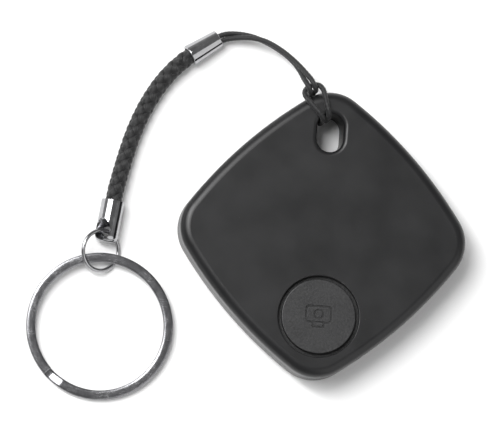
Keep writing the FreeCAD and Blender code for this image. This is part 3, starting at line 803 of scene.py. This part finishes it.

# %% [markdown]
# ## The button: spark-eroded grain
#
# The button is the same black but bare plastic with a coarser grain, so that a finger finds
# it. Its rim and the edges of its engraved lines are painted brighter, partly rubbed and
# partly a painted highlight. The engraved lines and the cap below its face are painted darker
# than the face, as painted shade in the recesses: the height of a point tells which it is.

# %% Button finish
ENGRAVED_BELOW, PLAIN_ABOVE = 0.00782, 0.00798
tree, shader, where = new_finish("grained_button", 0.45, specular=0.42)
here = where.outputs["Object"]
pits = use(tree, grain, here, Size=0.00030)
patch = use(tree, mottle, here, Size=0.0030)
worn_edge = use(tree, edge_wear, here, Broken=0.0008)
pitted = use(tree, mottle, here, Size=0.00035)
# Painted shade: the colour is lifted on the face and stays darker on the engraved floor and
# below it.
height_of = place(tree, "SeparateXYZ", [("Vector", here)])
painted_recess_shade = place(tree, "MapRange", [("Value", height_of.outputs["Z"]),
                                    ("From Min", ENGRAVED_BELOW),
                                    ("From Max", PLAIN_ABOVE), ("To Max", 0.12)])
# Painted highlight along the edges, with some rubbing, added to the painted shade of the
# recesses.
painted_light_and_rubbing = both(tree, painted_recess_shade.outputs["Result"], worn_edge.outputs["Mask"])
tint = maths(tree, "MULTIPLY_ADD", pitted.outputs["Value"], 0.20, painted_light_and_rubbing)
colour_by(tree, shader, tint, (0.003, 0.003, 0.003), (0.085, 0.085, 0.088))
roughness_by(tree, shader, patch.outputs["Value"], 0.36, 0.46)
relief_by(tree, shader, pits.outputs["Height"], 0.000020, 0.9)
wear("grained_button", "button_cap")

# %% [markdown]
# ## The cords: black nylon yarn
#
# Nylon filaments are glossy one by one, but a bundle scatters light along its length. Their
# relief and the painted shade between them follow the UV map, so the filaments run along
# every carrier, however the cord bends. A weak sheen stands for the fluff of loose fibre
# ends.

# %% Cord finishes
def nylon_yarn(name, pieces, filaments, slant, depth, low, high):
    """Filaments along the UV map, with painted shade between them and a soft sheen."""
    tree, shader, where = new_finish(name, 0.5, specular=0.45)
    shader.inputs["Sheen Weight"].default_value = 0.12
    shader.inputs["Sheen Roughness"].default_value = 0.5
    bundle = use(tree, yarn, where.outputs["UV"], Filaments=filaments, Slant=slant)
    faded = use(tree, mottle, where.outputs["Object"], Size=0.0015)
    # Painted shade between the filaments, mixed with a random tone, sets the base colour.
    painted_shade = both(tree, bundle.outputs["Shade"], faded.outputs["Value"], "MULTIPLY")
    colour_by(tree, shader, painted_shade, low, high)
    roughness_by(tree, shader, faded.outputs["Value"], 0.42, 0.58)
    relief_by(tree, shader, bundle.outputs["Height"], depth)
    wear(name, *pieces)


nylon_yarn("strap_yarn", [strap], 16.0, 0.10, 0.00004, (0.003, 0.003, 0.0033),
           (0.040, 0.040, 0.042))
nylon_yarn("loop_yarn", [loop_cord], 26.0, 0.5, 0.00001, (0.005, 0.005, 0.0055),
           (0.034, 0.034, 0.036))

# %% [markdown]
# ## Steel that shows
#
# The ferrules are nickel-plated and nearly mirrors. The jump ring is drawn wire, bright
# with lines along it. The key ring is rolled and tumbled, so it is greyer, with streaks
# that run round it and scratches from the keys.

# %% Steel finishes
def bright_steel(name, pieces, low, high, smooth, rough, stretch, space, depth, rarity):
    """Metal with drawn streaks in the colour, roughness and relief, and scratches."""
    tree, shader, where = new_finish(name, smooth, metallic=1.0)
    here = where.outputs["Object"]
    drawn = use(tree, streaks, where.outputs[space], Stretch=stretch)
    marks = use(tree, scratches, here, Size=0.0035, Rarity=rarity)
    cloud = use(tree, mottle, here, Size=0.002, To=0.6)
    worn_edge = use(tree, edge_wear, here, Broken=0.0008)
    streaky = both(tree, drawn.outputs["Value"], cloud.outputs["Value"], "MULTIPLY")
    colour = both(tree, streaky, worn_edge.outputs["Mask"])
    colour_by(tree, shader, colour, low, high)
    rubbed = both(tree, streaky, marks.outputs["Mask"])
    roughness_by(tree, shader, rubbed, smooth, rough)
    lined = maths(tree, "MULTIPLY_ADD", marks.outputs["Mask"], -0.8, drawn.outputs["Value"])
    relief_by(tree, shader, lined, depth, 0.7)
    wear(name, *pieces)


bright_steel("nickel_plate", ["upper_ferrule", "lower_ferrule"], (0.38, 0.38, 0.39),
             (0.50, 0.50, 0.51), 0.10, 0.26, (900.0, 900.0, 900.0), "Object", 0.0000012,
             0.70)
bright_steel("drawn_wire", [link_ring], (0.36, 0.36, 0.37), (0.52, 0.52, 0.53), 0.12, 0.28,
             (0.5, 14.0, 1.0), "UV", 0.000003, 0.70)
bright_steel("tumbled_spring_steel", [key_ring], (0.20, 0.20, 0.21), (0.46, 0.46, 0.47),
             0.22, 0.38, (1.2, 30.0, 1.0), "UV", 0.000006, 0.70)

# %% [markdown]
# ## Inside the case: metals
#
# The parts inside are hidden until the shells are lifted off, but each has its own
# finish. The cell's can and cap are brushed stainless steel, the tabs are nickel strip,
# and the crystal's can is bright. They share the steel recipe with other numbers.

# %% Inner metals
SHEET = (300.0, 9000.0, 9000.0)
bright_steel("cell_stainless", ["coin_cell_can"], (0.50, 0.50, 0.50), (0.68, 0.68, 0.68),
             0.22, 0.36, SHEET, "Object", 0.000002, 0.68)
bright_steel("cell_cap_stainless", ["coin_cell_cap"], (0.48, 0.48, 0.48),
             (0.64, 0.64, 0.64), 0.24, 0.40, (9000.0, 300.0, 9000.0), "Object", 0.000002,
             0.68)
bright_steel("nickel_strip", ["battery_tab_negative", "battery_tab_positive"],
             (0.58, 0.56, 0.52), (0.74, 0.72, 0.68), 0.26, 0.40, SHEET, "Object", 0.000002,
             0.70)
bright_steel("crystal_can", ["crystal"], (0.62, 0.62, 0.63), (0.80, 0.80, 0.81), 0.16, 0.28,
             SHEET, "Object", 0.000001, 0.72)
bright_steel("switch_steel", ["switch_body"], (0.55, 0.55, 0.56), (0.72, 0.72, 0.73), 0.24,
             0.38, SHEET, "Object", 0.000002, 0.70)
bright_steel("yoke_zinc", ["buzzer_yoke"], (0.42, 0.43, 0.44), (0.60, 0.61, 0.62), 0.30,
             0.45, (2500.0, 2500.0, 2500.0), "Object", 0.000003, 0.70)
bright_steel("diaphragm_sheet", ["buzzer_diaphragm"], (0.50, 0.50, 0.50),
             (0.66, 0.66, 0.66), 0.28, 0.40, SHEET, "Object", 0.000001, 0.70)

# %% [markdown]
# ## Inside the case: mouldings, ceramics and foam
#
# What is left is grainy or mottled in its own way. A chip's epoxy is matt with a fine
# grain, fired ceramic is glossy and slightly spotted, and a sintered magnet is rough.

# %% Inner mouldings
def grainy(name, pieces, low, high, roughness, size, depth, specular=0.5):
    """A mottled colour over a grain of that size and depth."""
    tree, shader, where = new_finish(name, roughness, specular=specular)
    here = where.outputs["Object"]
    cloud = use(tree, mottle, here, Size=size * 6.0)
    bumps = use(tree, grain, here, Size=size)
    specks = use(tree, dust, here, Spacing=0.0008, Speck=0.06)
    colour_by(tree, shader, both(tree, cloud.outputs["Value"], specks.outputs["Mask"]),
              low, high)
    roughness_by(tree, shader, cloud.outputs["Value"], roughness * 0.88, roughness * 1.12)
    relief_by(tree, shader, bumps.outputs["Height"], depth, 0.8)
    wear(name, *pieces)


grainy("chip_epoxy", ["bluetooth_chip"], (0.022, 0.022, 0.023), (0.045, 0.045, 0.046), 0.55,
       0.00010, 0.000006)
grainy("antenna_ceramic", ["chip_antenna"], (0.72, 0.72, 0.69), (0.84, 0.84, 0.82), 0.25,
       0.00030, 0.000002)
grainy("capacitor_ceramic", ["capacitors"], (0.50, 0.38, 0.27), (0.66, 0.54, 0.42), 0.35,
       0.00015, 0.000003)
grainy("resistor_glaze", ["resistors"], (0.020, 0.020, 0.022), (0.050, 0.050, 0.055), 0.20,
       0.00020, 0.000002)
grainy("inductor_ferrite", ["inductor"], (0.07, 0.07, 0.07), (0.13, 0.13, 0.13), 0.60,
       0.00012, 0.000008)
grainy("buzzer_moulding", ["buzzer_case"], (0.022, 0.022, 0.022), (0.045, 0.045, 0.045),
       0.42, 0.00015, 0.000004)
grainy("sintered_magnet", ["buzzer_magnet"], (0.07, 0.07, 0.08), (0.14, 0.14, 0.15), 0.62,
       0.00010, 0.000010)
grainy("stem_moulding", ["switch_stem"], (0.03, 0.03, 0.03), (0.06, 0.06, 0.06), 0.30,
       0.00020, 0.000002)
grainy("gasket_nylon", ["coin_cell_gasket"], (0.62, 0.62, 0.58), (0.74, 0.74, 0.70), 0.45,
       0.00020, 0.000003)
grainy("insulator_film", ["insulator_disc"], (0.52, 0.27, 0.04), (0.66, 0.38, 0.08), 0.18,
       0.00060, 0.000001)
grainy("foam", ["foam_pad"], (0.05, 0.05, 0.055), (0.11, 0.11, 0.115), 0.90, 0.00035,
       0.00012, 0.2)

# %% [markdown]
# ## Inside the case: the coil and the board
#
# The buzzer's coil is enamelled copper wire in even layers, so bands across its height stand
# for the turns, with painted shade darker between turns and lighter on their crowns. The
# board is green solder mask over copper: where a soft pattern of bands passes a threshold
# there is a trace, which lifts the mask and makes it paler.

# %% Coil and board finishes
tree, shader, where = new_finish("coil_copper", 0.28, metallic=1.0)
windings = place(tree, "TexWave", [("Vector", where.outputs["Object"]), ("Scale", 2600.0),
                                   ("Distortion", 0.4)], bands_direction="Z")
# Painted shade: the colour follows the same bands as the relief, darker between the turns.
colour_by(tree, shader, windings.outputs["Fac"], (0.30, 0.12, 0.05), (0.78, 0.40, 0.20))
relief_by(tree, shader, windings.outputs["Fac"], 0.00003)
wear("coil_copper", "buzzer_coil")

tree, shader, where = new_finish("solder_mask", 0.30)
here = where.outputs["Object"]
bands = place(tree, "TexWave", [("Vector", here), ("Scale", 330.0), ("Distortion", 9.0),
                                ("Detail", 1.0), ("Detail Scale", 0.6)])
trace = maths(tree, "GREATER_THAN", bands.outputs["Fac"], 0.72)
weave = use(tree, mottle, here, Size=0.0009, To=0.25)
tint = both(tree, trace, weave.outputs["Value"])
colour_by(tree, shader, tint, (0.008, 0.055, 0.022), (0.030, 0.150, 0.065))
roughness_by(tree, shader, weave.outputs["Value"], 0.25, 0.45)
relief_by(tree, shader, trace, 0.00002)
wear("solder_mask", "circuit_board")

# %% [markdown]
# ## The floor
#
# The object lies on a plain white table. The floor isn't part of it, so it is declared as
# stage. Its underside is see-through to a camera below, so that the object's back can be
# looked at. The table still keeps the light off that back.

# %% Lay the floor
FLOOR_REACH = 4.0
TABLE_WHITE = 0.94
floor_mesh = bpy.data.meshes.new("floor")
floor_mesh.from_pydata([(-FLOOR_REACH, -FLOOR_REACH, 0), (FLOOR_REACH, -FLOOR_REACH, 0),
                        (FLOOR_REACH, FLOOR_REACH, 0), (-FLOOR_REACH, FLOOR_REACH, 0)],
                       [], [(0, 1, 2, 3)])
floor = bpy.data.objects.new("floor", floor_mesh)
bpy.context.scene.collection.objects.link(floor)
floor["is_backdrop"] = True
floor_finish = bpy.data.materials.new("white_table")
floor_finish.use_nodes = True
table = floor_finish.node_tree
table_shader = table.nodes["Principled BSDF"]
table_shader.inputs["Base Color"].default_value = (TABLE_WHITE, TABLE_WHITE, TABLE_WHITE, 1.0)
table_shader.inputs["Roughness"].default_value = 0.9
table_shader.inputs["Specular IOR Level"].default_value = 0.0
seen_from_below = table.nodes.new("ShaderNodeNewGeometry")
clear = table.nodes.new("ShaderNodeBsdfTransparent")
either = table.nodes.new("ShaderNodeMixShader")
table.links.new(seen_from_below.outputs["Backfacing"], either.inputs["Fac"])
table.links.new(table_shader.outputs["BSDF"], either.inputs[1])
table.links.new(clear.outputs["BSDF"], either.inputs[2])
table.links.new(either.outputs["Shader"], table.nodes["Material Output"].inputs["Surface"])
floor_mesh.materials.append(floor_finish)
print("floor is", 2 * FLOOR_REACH, "m square")

# %% [markdown]
# ## The lights
#
# Black plastic and polished steel show what is round them more than their own colour. A
# broad sun from the upper left gives the floor an even light and soft shadows, wherever
# on it one looks. A panel in the same direction draws the long highlights on the ferrules
# and the tag's edge, and a weaker, broader sun from the lower right lifts the shadows.

# %% Hang the lights
LAMP_DISTANCE = 0.5


def toward(azimuth, from_overhead):
    """The unit vector at that azimuth from +X, and that angle from straight up."""
    a, b = math.radians(azimuth), math.radians(from_overhead)
    return Vector((math.cos(a) * math.sin(b), math.sin(a) * math.sin(b), math.cos(b)))


def hang_lamp(name, kind, azimuth, from_overhead, strength, size):
    """A lamp that shines on the middle of the object from that direction.

    The size is a sun's width in degrees, or a panel's two sides in metres.
    """
    data = bpy.data.lights.new(name, kind)
    data.energy = strength
    if kind == "SUN":
        data.angle = math.radians(size[0])
    else:
        data.shape = "RECTANGLE"
        data.size, data.size_y = size
    lamp = bpy.data.objects.new(name, data)
    away = toward(azimuth, from_overhead)
    middle = (cad_low + cad_high) / 2
    turn = away.to_track_quat("Z", "Y").to_matrix().to_4x4()
    lamp.matrix_world = Matrix.Translation(middle + away * LAMP_DISTANCE) @ turn
    lamp.visible_camera = False
    bpy.context.scene.collection.objects.link(lamp)
    return lamp


key_sun = hang_lamp("key_sun", "SUN", azimuth=148, from_overhead=34, strength=2.1,
                    size=(48, 48))
side_panel = hang_lamp("side_panel", "AREA", azimuth=147, from_overhead=32, strength=1.6,
                       size=(0.08, 0.34))
fill_sun = hang_lamp("fill_sun", "SUN", azimuth=320, from_overhead=50, strength=0.8,
                     size=(60, 60))
print("lamps:", key_sun.name, side_panel.name, fill_sun.name)

# %% [markdown]
# ## The room
#
# The room itself is the world's background. How steeply a ray climbs decides what it
# sees: a mid grey along the horizon and a darker one overhead.

# %% Paint the room
HORIZON_GREY, OVERHEAD_GREY = 0.50, 0.20
HORIZON_ENDS, OVERHEAD_STARTS = 0.02, 0.60
room = bpy.data.worlds.new("studio")
room.use_nodes = True
bpy.context.scene.world = room
sky = room.node_tree
looking = sky.nodes.new("ShaderNodeTexCoord")
parts_of = sky.nodes.new("ShaderNodeSeparateXYZ")
climbing = sky.nodes.new("ShaderNodeMapRange")
climbing.inputs["From Min"].default_value = HORIZON_ENDS
climbing.inputs["From Max"].default_value = OVERHEAD_STARTS
climbing.inputs["To Min"].default_value = HORIZON_GREY
climbing.inputs["To Max"].default_value = OVERHEAD_GREY
sky.links.new(looking.outputs["Generated"], parts_of.inputs["Vector"])
sky.links.new(parts_of.outputs["Z"], climbing.inputs["Value"])
sky.links.new(climbing.outputs["Result"], sky.nodes["Background"].inputs["Strength"])
sky.nodes["Background"].inputs["Color"].default_value = (1.0, 1.0, 1.0, 1.0)
bpy.context.scene.view_settings.view_transform = "Standard"

# %% [markdown]
# ## How much the looks grew
#
# The box round everything shown is compared with the CAD model's box, and the growth is
# printed. The looks must not outgrow the CAD model.

# %% Print how much the looks grew
now_low, now_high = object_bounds()
growth = (now_high - now_low) - (cad_high - cad_low)
print("grew by", [round(grown / MM, 3) for grown in growth])
